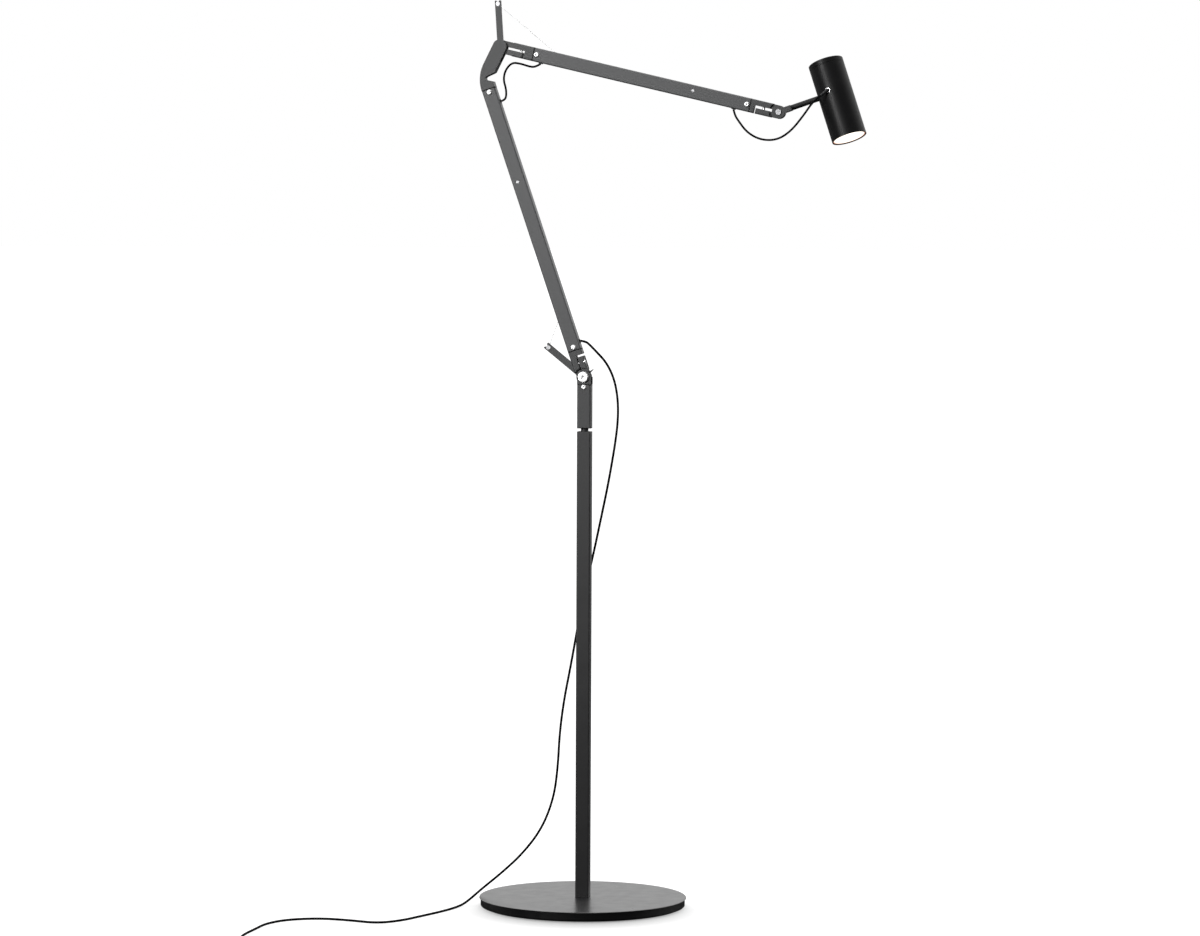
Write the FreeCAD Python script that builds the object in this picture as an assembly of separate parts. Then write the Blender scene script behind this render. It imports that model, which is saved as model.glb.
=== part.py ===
import FreeCAD, Part
import math
import os

# An adjustable arm floor lamp. Millimetres, +Z up. The origin is the centre of the base's
# underside, the arms fold in the XZ plane, and +X is the side that the head reaches to.
V = FreeCAD.Vector
X, Y, Z = V(1, 0, 0), V(0, 1, 0), V(0, 0, 1)

# Base
pad_radius, pad_thickness = 142, 2
disc_radius, disc_thickness = 148, 11.3
cover_radius, cover_thickness = 150, 1
base_bolt_radius, base_bolt_head_radius, base_bolt_head = 3.95, 7, 6
base_hex_radius, base_hex_depth, counterbore_gap, pad_edge_chamfer = 3, 3, 0.5, 0.8
base_top = pad_thickness + disc_thickness + cover_thickness

# Square tube shared by the pole, the post and both arms
tube_size, tube_wall, tube_corner, tube_inner_corner = 20, 1.5, 2, 1
half, inner_half = tube_size / 2, tube_size / 2 - tube_wall
plug_gap = 0.1
plug_half = inner_half - plug_gap

# Pivots: a shaft in bores that are a running clearance larger
pivot_radius, running_clearance = 3.95, 0.05
bore_radius = pivot_radius + running_clearance
ear_thickness, friction_washer = 3.5, 0.5
ear_inner = half - ear_thickness
tongue_half = ear_inner - friction_washer - running_clearance
ear_radius, tongue_radius = half, half - 0.5
washer_radius = 8.5
shoulder_clearance = ear_radius + 3.5
elbow_clearance = 22
lever_thickness = 5.6
lever_gap = lever_thickness + 0.8

# Screws and grommets
screw_radius, screw_head_radius, screw_head, screw_length = 1.95, 3.9, 1.6, 7
screw_inset, screw_edge = 5.4, 0.7
hex_radius, hex_depth = 1.5, 1
screw_bore = 2
clamp_head_radius, clamp_head = 3.4, 3
grommet_flange_radius, grommet_flange, grommet_neck_radius = 3.4, 1, 2.4

# Pole and post
pole_length, foot_plug_length, bush_length = 675, 30, 40
swivel_gap, bush_boss_radius = 4.5, 5.5
spindle_length, spindle_grip = 66, 26
post_plug_length, post_length, fork_plug_length = 30, 63.6, 24
post_screw_drop = 3.9
pole_top = base_top + pole_length
post_bottom = pole_top + swivel_gap + 0.1
post_top = post_bottom + post_length

# Arm geometry at rest
shoulder = V(-1, 0, post_top + ear_radius + 0.3)
lower_lean = 18.7
lower_reach, lower_length = 39.6, 397
elbow_beyond_tube, elbow_offset = 52.3, 35.2
upper_slope = 13.13
upper_reach, upper_length, outer_reach = 49.6, 323, 41
end_plug_length = 18
shoulder_knob_radius, shoulder_knob, shoulder_nut_height, knob_edge = 7.8, 3.6, 3, 0.8
cable_side_room = 3
# Each clamp's split: its width, where its way out starts and ends, and its screw's place (x, y)
lower_split, lower_leg, lower_clamp = 1.8, (29.5, 32.5), (21, -6.6)
upper_split, upper_leg, upper_clamp = 3, (34.5, 37.5), (31, 0)
outer_split, outer_leg, outer_clamp = 3.6, (32.8, 35.8), (22.5, 0)
lower_lever_slot, upper_lever_slot = 34, 20
elbow_bend, elbow_pin_inset, elbow_cap_radius, elbow_cap = 45, 2, 6.5, 2
notch_from_tube, notch_depth, notch_radius = 14.7, 3.4, 3
notch_mouth_start, notch_mouth_end = 2.2, 19.5

# Counterbalance: a lever on each pivot, a wire into the arm and a spring inside it
lower_lever_length, lower_lever_width, lower_lever_angle = 72, 9.6, 50.9
upper_lever_length, upper_lever_width, upper_lever_angle = 66, 8.6, 3.6
lever_hub_radius, lever_pin_inset, lever_fork_depth, lever_notch_depth = 8.5, 5, 9, 4
stop_tooth_reach, stop_tooth_width, stop_tooth_angle = 18.6, 5, 40.6
lever_pin_radius, lever_pin_head_radius, lever_pin_head = 1.95, 3.1, 1.2
wire_radius, ferrule_radius, ferrule_length = 0.6, 1.6, 6
wire_slot_half, wire_slot_length = 1.8, 18
lower_wire_entry, upper_wire_entry = 90, 81
lower_slot_reach, upper_slot_reach = 9, 12
spring_radius, spring_wire, spring_pitch, spring_length = 5.4, 1.4, 2.6, 180
spring_offset, wire_inside = 2, 22
anchor_radius = 1.95

# Stem and head
stem_rise, head_reach, head_roll = 19, 84.6, 12.4
stem_radius, stem_root, stem_end_gap = 4, 19, 1
stem_spigot_radius = 2.5
tilt_head_radius, tilt_head = 4, 1.8
head_radius, head_wall = 25.25, 1.4
head_top, head_bottom, cap_height, cap_gap = 47, 70, 7, 0.4
cap_edge, cap_spindle_radius, cap_spindle_length = 0.8, 3.95, 16
sink_gap, sink_top, sink_bottom, sink_cable_radius = 0.15, 16, 16, 4.5
board_radius, board_thickness, led_radius, led_height = 19, 1.6, 6, 1
reflector_wall, lens_thickness, lens_inset = 1, 2, 1.2
eyelet_turn, eyelet_radius, eyelet_wall, eyelet_stand = 15.5, 3.4, 0.9, 0.7
relief_root_radius, relief_tip_radius, relief_length = 2.4, 1.6, 14
relief_direction, relief_stand = V(-12.7, -9, -11), 2.1

# Cables
loop_radius, main_radius = 1.5, 1.7
# How far each cable port is from its end of the tube
lower_cord_port, lower_loop_port = 11.7, 22.1
upper_loop_port, upper_cable_port = 12.8, 23.6
cable_line, coil_behind = -5.7, 47
loop_straight, head_straight, main_straight = 5.2, 9, 5.5
coil_turns_wide, coil_layers, coil_middle_radius = 4, 2, 20.4
tail_height, tail_width, tail_end = 5.2, 27.2, 8
plug_length, plug_width, plug_height, pin_radius, pin_length, pin_pitch = 36, 26, 14, 2, 19, 19
relief_run, relief_wide, relief_narrow = 16, 4.5, 2.2

os.makedirs("parts", exist_ok=True)
nodes = {}


def save(name, *shapes):
    """Writes one node: a single solid, or a group of like solids."""
    shape = shapes[0] if len(shapes) == 1 else Part.makeCompound(list(shapes))
    shape.exportStep("parts/" + name + ".step")
    nodes[name] = shape


def box(x0, x1, y0, y1, z0, z1):
    return Part.makeBox(x1 - x0, y1 - y0, z1 - z0, V(x0, y0, z0))


def cyl(radius, start, direction, length):
    return Part.makeCylinder(radius, length, start, direction)


def across(radius, x, z, y0, y1):
    """A cylinder along Y from y0 to y1."""
    return cyl(radius, V(x, y0, z), Y, y1 - y0)


def place(shape, origin, turn_about_y):
    """Moves a shape from a pivot's own frame (+X along the part) to the lamp's frame."""
    moved = shape.copy()
    frame = FreeCAD.Placement(origin, FreeCAD.Rotation(Y, turn_about_y))
    moved.Placement = frame.multiply(moved.Placement)
    return moved


def square_bar(size, x0, x1, corner):
    bar = box(x0, x1, -size / 2, size / 2, -size / 2, size / 2)
    return bar.makeFillet(corner, [e for e in bar.Edges if abs(e.tangentAt(0).x) > 0.99])


def square_tube(x0, x1):
    inside = square_bar(2 * inner_half, x0 - 1, x1 + 1, tube_inner_corner)
    return square_bar(tube_size, x0, x1, tube_corner).cut(inside)


def upright(shape):
    """Turns a piece built along +X to stand along +Z."""
    return place(shape, V(0, 0, 0), -90)


def button_screw(x, side):
    """A socket button screw on the tube's -Y (side -1) or +Y (side +1) face."""
    out = V(0, side, 0)
    face = V(x, side * half, 0)
    head = cyl(screw_head_radius, face, out, screw_head)
    rim = [e for e in head.Edges if abs(e.BoundBox.Center.y - side * (half + screw_head)) < 1e-6]
    head = head.makeFillet(screw_edge, rim)
    shank = cyl(screw_radius, face - out * screw_length, out, screw_length)
    socket = cyl(hex_radius, face + out * (screw_head - hex_depth), out, hex_depth)
    return head.fuse(shank).cut(socket)


def screw_holes(x):
    return across(screw_bore, x, 0, -half - 1, half + 1)


def washer_pair(x, z):
    """Friction washers between the ears and the tongue."""
    ring = across(washer_radius, x, z, 0, friction_washer)
    ring = ring.cut(across(bore_radius, x, z, -1, friction_washer + 1))
    return [ring.translated(V(0, ear_inner - friction_washer, 0)), ring.translated(V(0, -ear_inner, 0))]


def arm_fitting(reach, clearance, split_width, leg, clamp, lever_slot=0, cable_side=0):
    """A split clamp end: a tongue on the pivot, a shoulder clear of the ears, a plug for the tube."""
    bar = square_bar(tube_size, 0, reach, tube_corner).cut(across(clearance, 0, 0, -half, half))
    tongue = across(tongue_radius, 0, 0, -tongue_half, tongue_half)
    tongue = tongue.fuse(box(0, reach, -tongue_half, tongue_half, -tongue_radius, tongue_radius))
    plug = square_bar(2 * plug_half, reach, reach + end_plug_length, tube_inner_corner)
    if cable_side:
        plug = plug.cut(box(reach, reach + end_plug_length, -half, half, -half, -cable_side))
    body = bar.fuse([tongue, plug]).cut(across(bore_radius, 0, 0, -half, half))
    start, end = leg
    split = box(0, end, -half - 1, half + 1, -split_width / 2, split_width / 2)
    way_out = box(start, end, -half - 1, half + 1, -half - 1, 0)
    body = body.cut([split, way_out])
    if lever_slot:
        gap = lever_gap / 2
        body = body.cut(box(-half - 1, lever_slot, -gap, gap, -half - 1, half + 1))
    seat = V(clamp[0], clamp[1], clamp_head - half)
    hole = cyl(screw_radius + running_clearance, seat, Z, tube_size - clamp_head - 1)
    recess = cyl(clamp_head_radius + plug_gap, seat, Z * -1, clamp_head + 1)
    return body.cut([hole, recess, screw_holes(reach + screw_inset)])


def clamp_screw(clamp):
    """The screw that closes a fitting's split, with its head sunk in local -Z."""
    seat = V(clamp[0], clamp[1], clamp_head - half)
    head = cyl(clamp_head_radius, seat, Z * -1, clamp_head - 0.2)
    shank = cyl(screw_radius, seat, Z, tube_size - clamp_head - 2)
    return head.fuse(shank).cut(cyl(hex_radius, seat - Z * hex_depth, Z * -1, clamp_head))


def arm_tube(start, length, cable_ports, wire_entry, slot_reach):
    """An arm's square tube with its screw holes, cable ports and wire slot."""
    end = start + length
    cuts = [screw_holes(start + screw_inset), screw_holes(end - screw_inset)]
    for x in cable_ports:
        cuts.append(cyl(grommet_neck_radius + 0.1, V(x, 0, 0), Z * -1, half + 1))
    x0 = wire_entry - slot_reach
    cuts.append(box(x0, x0 + wire_slot_length, -wire_slot_half, wire_slot_half, inner_half - 1, half + 1))
    cuts.append(across(anchor_radius + 0.05, anchor_place(wire_entry), spring_offset, -half - 1, half + 1))
    return square_tube(start, end).cut(cuts)


def grommet(x):
    """A rubber grommet in the wall on local -Z."""
    flange = cyl(grommet_flange_radius, V(x, 0, -half - grommet_flange), Z, grommet_flange)
    neck = cyl(grommet_neck_radius, V(x, 0, -half), Z, tube_wall)
    return flange.fuse(neck).cut(cyl(loop_radius + 0.05, V(x, 0, -half - 5), Z, 10))


def anchor_place(wire_entry):
    return wire_entry + wire_inside + spring_length + 4


def spring(wire_entry):
    """A close-wound extension spring, drawn as a ribbed sleeve, with its end plates."""
    x0 = wire_entry + wire_inside
    coils = int(spring_length / spring_pitch)
    step = spring_length / coils
    outer = [V(x0, 0, spring_radius - spring_wire)]
    for n in range(coils):
        outer.append(V(x0 + (n + 0.5) * step, 0, spring_radius))
        outer.append(V(x0 + (n + 1) * step, 0, spring_radius - spring_wire / 2))
    outer.append(V(x0 + spring_length, 0, spring_radius - 2 * spring_wire))
    outer.append(V(x0, 0, spring_radius - 2 * spring_wire))
    face = Part.Face(Part.makePolygon(outer + [outer[0]]))
    sleeve = face.revolve(V(0, 0, 0), X, 360)
    tail = cyl(spring_wire / 2, V(x0 + spring_length - 3, 0, 0), X, 7 - anchor_radius - 0.2)
    plate = cyl(spring_radius - spring_wire, V(x0 + spring_length - 4, 0, 0), X, 3)
    return sleeve.fuse([plate, tail]).translated(V(0, 0, spring_offset))


def anchor_pin(wire_entry):
    return across(anchor_radius, anchor_place(wire_entry), spring_offset, -half, half)


def lever(length, width):
    """A counterbalance lever along +X with a forked tip for the wire."""
    plate = lever_thickness / 2
    bar = box(0, length, -plate, plate, -width / 2, width / 2)
    hub = across(lever_hub_radius, 0, 0, -plate, plate)
    notch = [V(length + 1, -half, -width / 3), V(length - lever_notch_depth, -half, 0),
             V(length + 1, -half, width / 3)]
    notch = Part.Face(Part.makePolygon(notch + [notch[0]])).extrude(V(0, tube_size, 0))
    pin_x = length - lever_pin_inset
    slot = box(pin_x - lever_fork_depth, length + 1, -wire_slot_half, wire_slot_half, -width, width)
    bores = [across(bore_radius, 0, 0, -half, half), across(lever_pin_radius + 0.05, pin_x, 0, -half, half)]
    return bar.fuse(hub).cut([notch, slot] + bores)


def lever_pin(length):
    pin_x = length - lever_pin_inset
    plate = lever_thickness / 2
    pin = across(lever_pin_radius, pin_x, 0, -plate, plate)
    for side in (-1, 1):
        face = V(pin_x, side * plate, 0)
        pin = pin.fuse(cyl(lever_pin_head_radius, face, V(0, side, 0), lever_pin_head))
    return pin


def rounded_route(points, radius, name=None):
    """A tube of straight runs joined by tangent arcs, as large as the runs allow."""
    edges, here, radii = [], points[0], []
    for a, b, c in zip(points, points[1:], points[2:]):
        back, ahead = (a - b), (c - b)
        turn = math.pi - back.getAngle(ahead)
        cut = 0.45 * min(back.Length, ahead.Length)
        radii.append(cut / math.tan(turn / 2))
        back.normalize()
        ahead.normalize()
        first, last = b + back * cut, b + ahead * cut
        middle = b + (back + ahead).normalize() * radii[-1] * (1 / math.cos(turn / 2) - 1)
        edges += [Part.LineSegment(here, first).toShape(), Part.Arc(first, middle, last).toShape()]
        here = last
    edges.append(Part.LineSegment(here, points[-1]).toShape())
    path = Part.Wire(edges)
    start = Part.Wire(Part.makeCircle(radius, points[0], points[1] - points[0]))
    tube = path.makePipeShell([start], True, False)
    if name:
        share = tube.Volume / (math.pi * radius**2 * path.Length)
        end_points = [tuple(round(c, 1) for c in p) for p in points[:2] + points[-2:]]
        print(name, "ends", end_points)
        print(name, "length", round(path.Length, 1), "tightest radius", round(min(radii), 1),
              "volume share", round(share, 4), "valid", tube.isValid())
    return tube


# ---------------------------------------------------------------- base
disc_top = pad_thickness + disc_thickness
pad = cyl(pad_radius, V(), Z, pad_thickness)
disc = cyl(disc_radius, V(0, 0, pad_thickness), Z, disc_thickness)
disc = disc.makeChamfer(pad_edge_chamfer, [e for e in disc.Edges if e.BoundBox.ZMax < pad_thickness + 0.1])
bolt_way = cyl(base_bolt_radius + 0.05, V(), Z, base_top + foot_plug_length)
counterbore = cyl(base_bolt_head_radius + counterbore_gap, V(), Z, pad_thickness + base_bolt_head)
disc = disc.cut([bolt_way, counterbore])
cover = cyl(cover_radius, V(0, 0, disc_top), Z, cover_thickness)
cover = cover.makeFillet(0.6, [e for e in cover.Edges if e.BoundBox.ZMin > base_top - 0.01])
bolt_head = cyl(base_bolt_head_radius, V(0, 0, pad_thickness), Z, base_bolt_head)
bolt = bolt_head.fuse(cyl(base_bolt_radius, V(0, 0, pad_thickness), Z, base_top + foot_plug_length - 6))
save("base_pad", pad)
save("base_disc", disc)
save("base_cover", cover.cut(bolt_way))
save("base_bolt", bolt.cut(cyl(base_hex_radius, V(), Z, pad_thickness + base_hex_depth)))

# ---------------------------------------------------------------- pole
foot_plug = upright(square_bar(2 * plug_half, base_top, base_top + foot_plug_length, tube_inner_corner))
save("foot_plug", foot_plug.cut(bolt_way))
save("pole_tube", upright(square_tube(base_top, pole_top)))
bush = upright(square_bar(2 * plug_half, pole_top - bush_length, pole_top, tube_inner_corner))
bush = bush.fuse(cyl(bush_boss_radius, V(0, 0, pole_top), Z, swivel_gap))
save("pole_bush", bush.cut(cyl(bore_radius, V(0, 0, pole_top - bush_length - 1), Z, 2 * bush_length)))

# ---------------------------------------------------------------- post
spindle_top = post_bottom + spindle_grip
save("swivel_spindle", cyl(pivot_radius, V(0, 0, spindle_top - spindle_length), Z, spindle_length))
post_plug = square_bar(2 * plug_half, post_bottom, post_bottom + post_plug_length, tube_inner_corner)
post_plug = upright(post_plug)
save("post_plug", post_plug.cut(cyl(bore_radius, V(0, 0, post_bottom - 1), Z, spindle_grip + 1.1)))
post_screw_z = post_top - post_screw_drop
post_tube = upright(square_tube(post_bottom, post_top).cut(screw_holes(post_screw_z)))
save("post_tube", post_tube)
fork = upright(square_bar(2 * plug_half, post_top - fork_plug_length, post_top, tube_inner_corner))
for y0, y1 in ((-half, -ear_inner), (ear_inner, half)):
    ear = across(ear_radius, shoulder.x, shoulder.z, y0, y1)
    fork = fork.fuse([ear, box(-half, half, y0, y1, post_top, shoulder.z)])
fork = fork.cut(across(bore_radius, shoulder.x, shoulder.z, -half, half))
save("post_fork", fork.cut(upright(screw_holes(post_screw_z))))
save("post_screws", *[upright(button_screw(post_screw_z, side)) for side in (-1, 1)])

bolt = across(pivot_radius, 0, 0, -half, half)
knob = across(shoulder_knob_radius, 0, 0, -half - shoulder_knob, -half)
knob = knob.makeFillet(knob_edge, [e for e in knob.Edges if e.BoundBox.YMax < -half - shoulder_knob + 0.1])
knob = knob.cut(across(hex_radius, 0, 0, -half - 4, -half - 1))
save("shoulder_bolt", bolt.fuse(knob).translated(shoulder))
nut = across(shoulder_knob_radius, 0, 0, half, half + shoulder_nut_height)
nut = nut.makeFillet(knob_edge, [e for e in nut.Edges if e.BoundBox.YMin > half + shoulder_nut_height - 0.1])
save("shoulder_nut", nut.translated(shoulder))
save("shoulder_washers", *washer_pair(shoulder.x, shoulder.z))
lower_lever_turn = -(90 + lower_lever_angle)
lower_lever = place(lever(lower_lever_length, lower_lever_width), shoulder, lower_lever_turn)
tooth_root = bore_radius + 1
tooth = [V(tooth_root, 0, -stop_tooth_width / 2), V(stop_tooth_reach, 0, 0),
         V(tooth_root, 0, stop_tooth_width / 2)]
tooth = Part.Face(Part.makePolygon(tooth + [tooth[0]])).extrude(V(0, lever_thickness, 0))
tooth = place(tooth.translated(V(0, -lever_thickness / 2, 0)), shoulder, -stop_tooth_angle)
save("lower_lever", lower_lever.fuse(tooth))
save("lower_lever_pin", place(lever_pin(lower_lever_length), shoulder, lower_lever_turn))

# ---------------------------------------------------------------- lower arm
lower_turn = -(90 + lower_lean)
lower_end = lower_reach + lower_length
elbow_along = lower_end + elbow_beyond_tube
lower_cord_exit, lower_loop_exit = lower_reach + lower_cord_port, lower_end - lower_loop_port


def lower(shape):
    return place(shape, shoulder, lower_turn)


lower_end_fitting = arm_fitting(lower_reach, shoulder_clearance, lower_split, lower_leg, lower_clamp,
                                lower_lever_slot, cable_side_room)
save("lower_fitting", lower(lower_end_fitting))
save("lower_clamp_screw", lower(clamp_screw(lower_clamp)))
lower_ports = (lower_cord_exit, lower_loop_exit)
lower_tube = arm_tube(lower_reach, lower_length, lower_ports, lower_wire_entry, lower_slot_reach)
save("lower_tube", lower(lower_tube))
lower_screw_places = [(x, s) for x in (lower_reach + screw_inset, lower_end - screw_inset) for s in (-1, 1)]
save("lower_screws", *[lower(button_screw(x, s)) for x, s in lower_screw_places])
save("lower_spring", lower(spring(lower_wire_entry)))
save("lower_spring_anchor", lower(anchor_pin(lower_wire_entry)))
save("lower_grommets", *[lower(grommet(x)) for x in lower_ports])


def inner_cable(x0, x1):
    """The cable inside an arm, from one grommet's outer face to the other's."""
    face = -half - grommet_flange
    points = [V(x0, 0, face), V(x0, 0, cable_line), V(x1, 0, cable_line), V(x1, 0, face)]
    return rounded_route(points, loop_radius)


save("lower_inner_cable", lower(inner_cable(*lower_ports)))

# The elbow block bends 45 degrees from the lower tube to the elbow pivot, which stands off its axis.
neck = V(math.cos(math.radians(elbow_bend)), 0, -math.sin(math.radians(elbow_bend)))
neck_side = V(neck.z, 0, -neck.x)
half_bend = math.radians(elbow_bend / 2)
elbow_local = V(elbow_along, 0, -elbow_offset)
bend_corner = elbow_along - elbow_offset
outer_corner = V(bend_corner + half * math.tan(half_bend), 0, half)
inner_corner = V(bend_corner - half * math.tan(half_bend), 0, -half)
arc_run = outer_corner.x - lower_end
arc_radius = arc_run / math.tan(half_bend)
arc_start = V(lower_end, 0, half)
arc_middle = arc_start + V(math.sin(half_bend), 0, math.cos(half_bend) - 1) * arc_radius
arc_end = outer_corner + neck * arc_run
round_side = neck_side * ear_radius


def segment(a, b):
    return Part.LineSegment(a, b).toShape()


outline = [
    Part.Arc(arc_start, arc_middle, arc_end).toShape(),
    segment(arc_end, elbow_local - round_side),
    Part.Arc(elbow_local - round_side, elbow_local + neck * ear_radius, elbow_local + round_side).toShape(),
    segment(elbow_local + round_side, inner_corner),
    segment(inner_corner, V(lower_end, 0, -half)),
    segment(V(lower_end, 0, -half), arc_start)]
profile = Part.Face(Part.Wire(outline)).extrude(V(0, tube_size, 0)).translated(V(0, -half, 0))
notch_inner = V(lower_end + notch_from_tube, 0, -notch_depth)
notch_outline = [notch_inner + V(notch_radius, 0, 0), V(lower_end + notch_mouth_end, 0, -tube_size),
                 V(lower_end + notch_mouth_start, 0, -tube_size), notch_inner - V(notch_radius, 0, 0)]
notch = Part.Face(Part.makePolygon(notch_outline + [notch_outline[0]]))
notch = notch.extrude(V(0, tube_size + 2, 0)).translated(V(0, -half - 1, 0))
notch = notch.fuse(across(notch_radius, notch_inner.x, notch_inner.z, -half - 1, half + 1))
plug = square_bar(2 * plug_half, lower_end - end_plug_length, lower_end + 1, tube_inner_corner)
elbow_block = profile.fuse(plug).cut([
    notch,
    across(elbow_clearance, elbow_local.x, elbow_local.z, -ear_inner, ear_inner),
    across(bore_radius, elbow_local.x, elbow_local.z, elbow_pin_inset - half, half + 1),
    screw_holes(lower_end - screw_inset)])
save("elbow_block", lower(elbow_block.removeSplitter()))
elbow = place(Part.Vertex(elbow_local), shoulder, lower_turn).Point
elbow_pin = across(pivot_radius, elbow.x, elbow.z, elbow_pin_inset - half, half)
save("elbow_pin", elbow_pin.fuse(across(elbow_cap_radius, elbow.x, elbow.z, half, half + elbow_cap)))
save("elbow_washers", *washer_pair(elbow.x, elbow.z))
upper_lever_turn = -(90 + upper_lever_angle)
save("upper_lever", place(lever(upper_lever_length, upper_lever_width), elbow, upper_lever_turn))
save("upper_lever_pin", place(lever_pin(upper_lever_length), elbow, upper_lever_turn))

# ---------------------------------------------------------------- upper arm
upper_end = upper_reach + upper_length
upper_loop_entry, upper_cable_exit = upper_reach + upper_loop_port, upper_end - upper_cable_port
arm_span = upper_end + outer_reach


def upper(shape):
    return place(shape, elbow, upper_slope)


def turned_end(shape):
    """A fitting built for the near end, turned to face back from the arm's far end."""
    turned = shape.copy()
    turn = FreeCAD.Placement(V(arm_span, 0, 0), FreeCAD.Rotation(Z, 180))
    turned.Placement = turn.multiply(turned.Placement)
    return turned


inner_fitting = arm_fitting(upper_reach, elbow_clearance, upper_split, upper_leg, upper_clamp,
                            upper_lever_slot, cable_side_room)
outer_fitting = arm_fitting(outer_reach, shoulder_clearance, outer_split, outer_leg, outer_clamp)
save("upper_inner_fitting", upper(inner_fitting))
save("upper_outer_fitting", upper(turned_end(outer_fitting)))
save("upper_clamp_screws", upper(clamp_screw(upper_clamp)), upper(turned_end(clamp_screw(outer_clamp))))
upper_ports = (upper_loop_entry, upper_cable_exit)
upper_tube = arm_tube(upper_reach, upper_length, upper_ports, upper_wire_entry, upper_slot_reach)
save("upper_tube", upper(upper_tube))
upper_screw_places = [(x, s) for x in (upper_reach + screw_inset, upper_end - screw_inset) for s in (-1, 1)]
save("upper_screws", *[upper(button_screw(x, s)) for x, s in upper_screw_places])
save("upper_spring", upper(spring(upper_wire_entry)))
save("upper_spring_anchor", upper(anchor_pin(upper_wire_entry)))
save("upper_grommets", *[upper(grommet(x)) for x in upper_ports])
save("upper_inner_cable", upper(inner_cable(*upper_ports)))


# ---------------------------------------------------------------- counterbalance wires
def in_world(origin, turn, point):
    return place(Part.Vertex(point), origin, turn).Point


def balance_wire(pin, slot_entry, spring_end):
    """A steel wire with a crimped ferrule, from a lever's pin through the slot to the spring."""
    run = (slot_entry - pin).normalize()
    start = pin + run * (lever_pin_radius + wire_radius + running_clearance)
    wire = rounded_route([start, slot_entry, spring_end], wire_radius)
    ferrule = cyl(ferrule_radius, pin + run * (lower_lever_width / 2 + 1.4), run, ferrule_length)
    return wire.fuse(ferrule)


def lever_pin_place(origin, turn, length):
    return in_world(origin, turn, V(length - lever_pin_inset, 0, 0))


spring_hook = V(wire_inside - 0.3, 0, spring_offset)
save("lower_wire", balance_wire(
    lever_pin_place(shoulder, lower_lever_turn, lower_lever_length),
    in_world(shoulder, lower_turn, V(lower_wire_entry, 0, half - 1)),
    in_world(shoulder, lower_turn, V(lower_wire_entry, 0, 0) + spring_hook)))
save("upper_wire", balance_wire(
    lever_pin_place(elbow, upper_lever_turn, upper_lever_length),
    in_world(elbow, upper_slope, V(upper_wire_entry, 0, half - 1)),
    in_world(elbow, upper_slope, V(upper_wire_entry, 0, 0) + spring_hook)))

# ---------------------------------------------------------------- stem
tip = in_world(elbow, upper_slope, V(arm_span, 0, 0))


def stem(shape):
    return place(shape, tip, -stem_rise)


fork_parts = []
for y0, y1 in ((-half, -ear_inner), (ear_inner, half)):
    fork_parts.append(across(tongue_radius, 0, 0, y0, y1))
    fork_parts.append(box(0, stem_root, y0, y1, -stem_radius, stem_radius))
web = box(shoulder_clearance, stem_root, -half, half, -stem_radius, stem_radius)
stem_fork = web.fuse(fork_parts).cut([
    across(bore_radius, 0, 0, -half, half),
    cyl(stem_spigot_radius + 0.05, V(shoulder_clearance - 1, 0, 0), X, 10)])
save("stem_fork", stem(stem_fork))
stem_rod = cyl(stem_radius, V(stem_root, 0, 0), X, head_reach - stem_root)
stem_rod = stem_rod.fuse(cyl(stem_spigot_radius, V(shoulder_clearance + 0.5, 0, 0), X, 6))
save("stem_rod", stem(stem_rod))
tilt_screw = across(pivot_radius, 0, 0, -half, half)
tilt_screw = tilt_screw.fuse(across(tilt_head_radius, 0, 0, -half - tilt_head, -half))
tilt_slot = box(-tilt_head_radius, tilt_head_radius, -half - tilt_head, -half - 0.8, -0.5, 0.5)
save("tilt_screw", stem(tilt_screw.cut(tilt_slot)))
save("tilt_washers", *[stem(w) for w in washer_pair(0, 0)])

# ---------------------------------------------------------------- head
# The head's own frame: X along the stem, Z along the head, origin where the two axes cross.
rise = math.radians(stem_rise)
head_origin = tip + V(math.cos(rise), 0, math.sin(rise)) * head_reach
head_turn = FreeCAD.Rotation(Y, -stem_rise).multiply(FreeCAD.Rotation(X, -head_roll))
head_frame = FreeCAD.Placement(head_origin, head_turn)


def head(shape):
    moved = shape.copy()
    moved.Placement = head_frame.multiply(moved.Placement)
    return moved


inside_radius = head_radius - head_wall
housing_top = head_top - cap_height - cap_gap
body_length = housing_top + head_bottom
stem_bore = stem_radius + running_clearance
housing = cyl(head_radius, V(0, 0, -head_bottom), Z, body_length)
housing = housing.cut(cyl(inside_radius, V(0, 0, -head_bottom - 1), Z, body_length - head_wall + 1))
azimuth = math.radians(eyelet_turn)
eyelet_out = V(-math.sin(azimuth), -math.cos(azimuth), 0)
port = cyl(eyelet_radius - eyelet_wall + 0.05, V(), eyelet_out, head_radius + 2)
housing = housing.cut([
    cyl(stem_bore, V(-head_radius - 1, 0, 0), X, head_radius),
    cyl(cap_spindle_radius + running_clearance, V(0, 0, housing_top - 5), Z, 10),
    port])
save("head_housing", head(housing))
cap = cyl(head_radius, V(0, 0, head_top - cap_height), Z, cap_height)
cap = cap.makeFillet(cap_edge, [e for e in cap.Edges if e.BoundBox.ZMin > head_top - 0.01])
spindle_foot = V(0, 0, head_top - cap_height - cap_spindle_length)
spindle = cyl(cap_spindle_radius, spindle_foot, Z, cap_spindle_length)
save("dimmer_cap", head(cap.fuse(spindle)))
sink = cyl(inside_radius - sink_gap, V(0, 0, -sink_bottom), Z, sink_top + sink_bottom)
cable_way = cyl(sink_cable_radius, V() + eyelet_out * (stem_radius + 4), eyelet_out, head_radius)
cable_drop = box(-sink_cable_radius, sink_cable_radius, -head_radius, -head_radius + 15, -sink_bottom - 1, 0)
cable_drop.rotate(V(), Z, -eyelet_turn)
stem_way = cyl(stem_bore, V(-head_radius, 0, 0), X, head_radius + stem_end_gap)
sink = sink.cut([stem_way, cable_way, cable_drop])
save("heat_sink", head(sink))
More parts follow.
